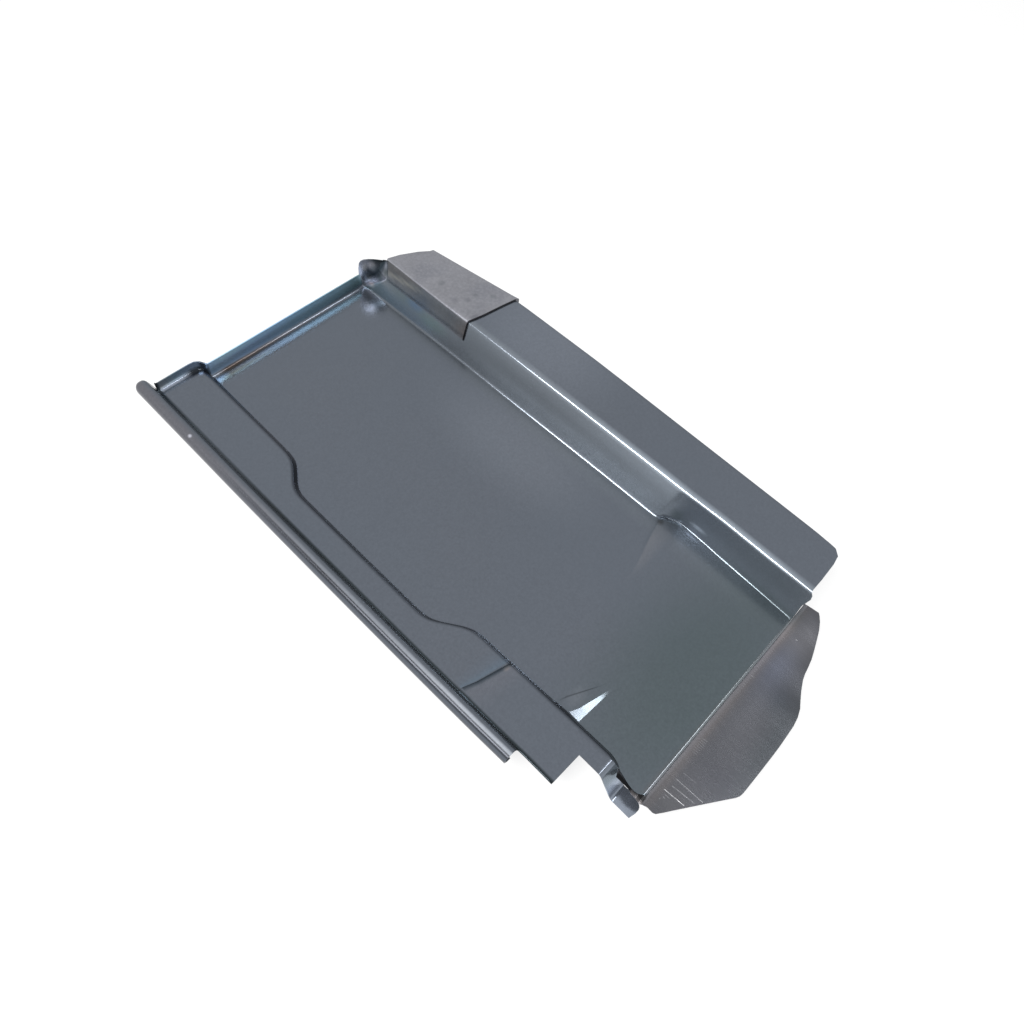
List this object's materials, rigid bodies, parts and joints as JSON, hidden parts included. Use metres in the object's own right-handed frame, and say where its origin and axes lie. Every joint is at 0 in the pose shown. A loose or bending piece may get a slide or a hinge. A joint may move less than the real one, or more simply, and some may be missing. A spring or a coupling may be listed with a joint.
{
  "type": "metal roofing panel",
  "caption": "Pressed galvanised-steel panel that replaces an interlocking roof tile, with a rolled side hem, a rib with a flange, a capped rib end and a soft aluminium apron at the front.",
  "frame": {"origin": "middle of the bounding box's bottom face", "axes": "+X across the roof slope from the rolled hem to the flange, +Y up the slope to the back lip, +Z out of the roof face"},
  "size_m": [0.2496, 0.4542, 0.0399],
  "materials": {
    "galvanised_steel": "dull zinc-coated sheet, slightly mottled",
    "soft_aluminium": "bright soft sheet with fine scored lines",
    "cap_sheet": "light speckled zinc coating with faint stains"
  },
  "bodies": {
    "root": {"steel_panel": "galvanised_steel", "front_apron": "soft_aluminium", "rib_cap": "cap_sheet"}
  },
  "joints": []
}
